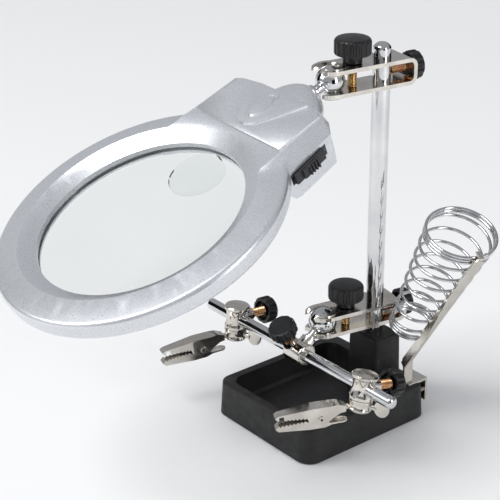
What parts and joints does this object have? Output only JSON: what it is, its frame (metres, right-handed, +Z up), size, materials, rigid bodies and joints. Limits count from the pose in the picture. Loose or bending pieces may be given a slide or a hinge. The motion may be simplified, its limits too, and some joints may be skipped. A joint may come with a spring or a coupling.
{
  "type": "pcb holder vise",
  "caption": "Bench stand with a heavy tray base, a post, a lighted magnifier on a ball clamp, a crossbar with swivelling alligator clips and a coil holder for a soldering iron.",
  "frame": {"origin": "middle of the base, on the surface that it stands on", "axes": "+X along the crossbar to the user's right, +Y to the rear where the post stands, +Z up"},
  "size_m": [0.1669, 0.253, 0.223],
  "materials": {
    "cast_black": "fine textured black paint on cast iron",
    "pad_rubber": "soft matt rubber",
    "chrome": "bright chrome plate",
    "nickel": "bright nickel plate, warm, with fine scuffs",
    "plain_steel": "zinc plated steel",
    "yellow_zinc": "yellow zinc plated thread",
    "knob_black": "black moulded plastic",
    "silver_plastic": "silver metallic paint on moulded plastic, satin",
    "lens": "clear polished acrylic",
    "switch_black": "black moulded plastic",
    "cell_label": "plain sleeve on the cells",
    "circuit_board": "green solder mask"
  },
  "bodies": {
    "stand": {"base_casting": "cast_black", "base_pad": "pad_rubber", "post": "chrome", "post_screw": "plain_steel", "iron_holder_coil": "chrome", "iron_holder_bracket": "nickel", "iron_holder_screw": "nickel"},
    "upper_clamp": {"upper_clamp_strap": "nickel", "upper_clamp_nut": "nickel"},
    "upper_knob": {"upper_clamp_knob": "knob_black", "upper_clamp_screw": "yellow_zinc"},
    "upper_rear_knob": {"upper_post_knob": "knob_black", "upper_post_screw": "yellow_zinc"},
    "magnifier_stem": {"magnifier_ball_stud": "chrome", "stud_nut": "plain_steel"},
    "magnifier": {"magnifier_top_shell": "silver_plastic", "magnifier_bottom_shell": "silver_plastic", "main_lens": "lens", "bifocal_lens": "lens", "battery_door": "silver_plastic", "battery_door_screw": "plain_steel", "shell_screws": "plain_steel", "batteries": "cell_label", "battery_contacts": "plain_steel", "light_leds": "lens", "led_board": "circuit_board"},
    "switch": {"light_switch": "switch_black"},
    "lower_clamp": {"lower_clamp_strap": "nickel", "lower_clamp_nut": "nickel"},
    "lower_knob": {"lower_clamp_knob": "knob_black", "lower_clamp_screw": "yellow_zinc"},
    "lower_rear_knob": {"lower_post_knob": "knob_black", "lower_post_screw": "yellow_zinc"},
    "collar": {"bar_collar": "nickel", "collar_ball_stud": "chrome"},
    "collar_knob_body": {"collar_knob": "knob_black", "collar_screw": "yellow_zinc"},
    "bar": {"crossbar": "chrome"},
    "right_joint": {"right_joint_body": "nickel", "right_swivel_pin": "plain_steel"},
    "right_knob": {"right_joint_knob": "knob_black", "right_joint_screw": "yellow_zinc"},
    "right_ring": {"right_joint_ring": "nickel"},
    "right_wing": {"right_wing_screw": "nickel"},
    "right_clip": {"right_clip_frame": "nickel", "right_clip_rivet": "nickel", "right_clip_spring": "plain_steel"},
    "right_jaw": {"right_clip_jaw": "nickel"},
    "left_joint": {"left_joint_body": "nickel", "left_swivel_pin": "plain_steel"},
    "left_knob": {"left_joint_knob": "knob_black", "left_joint_screw": "yellow_zinc"},
    "left_ring": {"left_joint_ring": "nickel"},
    "left_wing": {"left_wing_screw": "nickel"},
    "left_clip": {"left_clip_frame": "nickel", "left_clip_rivet": "nickel", "left_clip_spring": "plain_steel"},
    "left_jaw": {"left_clip_jaw": "nickel"}
  },
  "joints": [
    {"name": "upper_clamp_swivel", "type": "hinge", "parent": "stand", "child": "upper_clamp", "pos_m": [0.00806, 0.03226, 0.2013], "axis": [0, 0, 1], "continuous": true},
    {"name": "upper_knob_turn", "type": "hinge", "parent": "upper_clamp", "child": "upper_knob", "pos_m": [0.00515, 0.01369, 0.2013], "axis": [0, 0, 1], "continuous": true},
    {"name": "upper_rear_knob_turn", "type": "hinge", "parent": "upper_clamp", "child": "upper_rear_knob", "pos_m": [0.00806, 0.03226, 0.2013], "axis": [0.1547, 0.988, 0], "continuous": true},
    {"name": "magnifier_tilt", "type": "hinge", "parent": "upper_clamp", "child": "magnifier_stem", "pos_m": [0.003, -0.00005, 0.2013], "axis": [0.998, -0.0601, -0.0175], "range_deg": [-30, 18]},
    {"name": "magnifier_twist", "type": "hinge", "parent": "magnifier_stem", "child": "magnifier", "pos_m": [0.003, -0.00005, 0.2013], "axis": [-0.0619, -0.9086, -0.4131], "range_deg": [-25, 25]},
    {"name": "switch_slide", "type": "slide", "parent": "magnifier", "child": "switch", "axis": [-0.0693, 0.9086, 0.4118], "range_m": [-0.001, 0.0018]},
    {"name": "lower_clamp_height", "type": "slide", "parent": "stand", "child": "lower_clamp", "axis": [0, 0, 1], "range_m": [0, 0.04]},
    {"name": "lower_knob_turn", "type": "hinge", "parent": "lower_clamp", "child": "lower_knob", "pos_m": [0.00448, 0.0133, 0.0599], "axis": [0, 0, 1], "continuous": true},
    {"name": "lower_rear_knob_turn", "type": "hinge", "parent": "lower_clamp", "child": "lower_rear_knob", "pos_m": [0.00806, 0.03226, 0.0599], "axis": [0.1857, 0.9826, 0], "continuous": true},
    {"name": "collar_swing", "type": "hinge", "parent": "lower_clamp", "child": "collar", "pos_m": [0.00169, -0.00144, 0.0599], "axis": [0, 0, 1], "range_deg": [-20, 2]},
    {"name": "collar_knob_turn", "type": "hinge", "parent": "collar", "child": "collar_knob_body", "pos_m": [-0.0025, -0.01875, 0.0465], "axis": [0, -0.4839, 0.8751], "continuous": true},
    {"name": "crossbar_roll", "type": "hinge", "parent": "collar", "child": "bar", "pos_m": [0.0017, -0.01875, 0.0465], "axis": [1, 0, 0], "range_deg": [-30, 4]},
    {"name": "right_joint_slide", "type": "slide", "parent": "bar", "child": "right_joint", "axis": [1, 0, 0], "range_m": [-0.025, 0.012]},
    {"name": "right_knob_turn", "type": "hinge", "parent": "right_joint", "child": "right_knob", "pos_m": [0.054, -0.01875, 0.0465], "axis": [0, 0.9744, -0.225], "continuous": true},
    {"name": "right_ring_swivel", "type": "hinge", "parent": "right_joint", "child": "right_ring", "pos_m": [0.054, -0.01875, 0.0465], "axis": [0, 0.225, 0.9744], "range_deg": [-60, 60]},
    {"name": "right_wing_turn", "type": "hinge", "parent": "right_ring", "child": "right_wing", "pos_m": [0.054, -0.02096, 0.03695], "axis": [0.9063, 0.4226, 0], "continuous": true},
    {"name": "right_clip_roll", "type": "hinge", "parent": "right_ring", "child": "right_clip", "pos_m": [0.054, -0.02096, 0.03695], "axis": [-0.4981, -0.8627, -0.0872], "range_deg": [-60, 60]},
    {"name": "right_jaw_open", "type": "hinge", "parent": "right_clip", "child": "right_jaw", "pos_m": [0.04329, -0.0395, 0.03166], "axis": [0.866, -0.5, 0], "range_deg": [-7, 10], "stiffness_Nm_per_rad": 0.1},
    {"name": "left_joint_slide", "type": "slide", "parent": "bar", "child": "left_joint", "axis": [1, 0, 0], "range_m": [-0.012, 0.025]},
    {"name": "left_knob_turn", "type": "hinge", "parent": "left_joint", "child": "left_knob", "pos_m": [-0.054, -0.01875, 0.0465], "axis": [0, 0.9962, -0.0872], "continuous": true},
    {"name": "left_ring_swivel", "type": "hinge", "parent": "left_joint", "child": "left_ring", "pos_m": [-0.054, -0.01875, 0.0465], "axis": [0, 0.0872, 0.9962], "range_deg": [-60, 60]},
    {"name": "left_wing_turn", "type": "hinge", "parent": "left_ring", "child": "left_wing", "pos_m": [-0.054, -0.0196, 0.03674], "axis": [0.9272, 0.3746, 0], "continuous": true},
    {"name": "left_clip_roll", "type": "hinge", "parent": "left_ring", "child": "left_clip", "pos_m": [-0.054, -0.0196, 0.03674], "axis": [-0.2913, -0.9527, -0.0872], "range_deg": [-60, 60]},
    {"name": "left_jaw_open", "type": "hinge", "parent": "left_clip", "child": "left_jaw", "pos_m": [-0.06026, -0.04009, 0.03145], "axis": [0.9563, -0.2924, 0], "range_deg": [-7, 10], "stiffness_Nm_per_rad": 0.1}
  ]
}
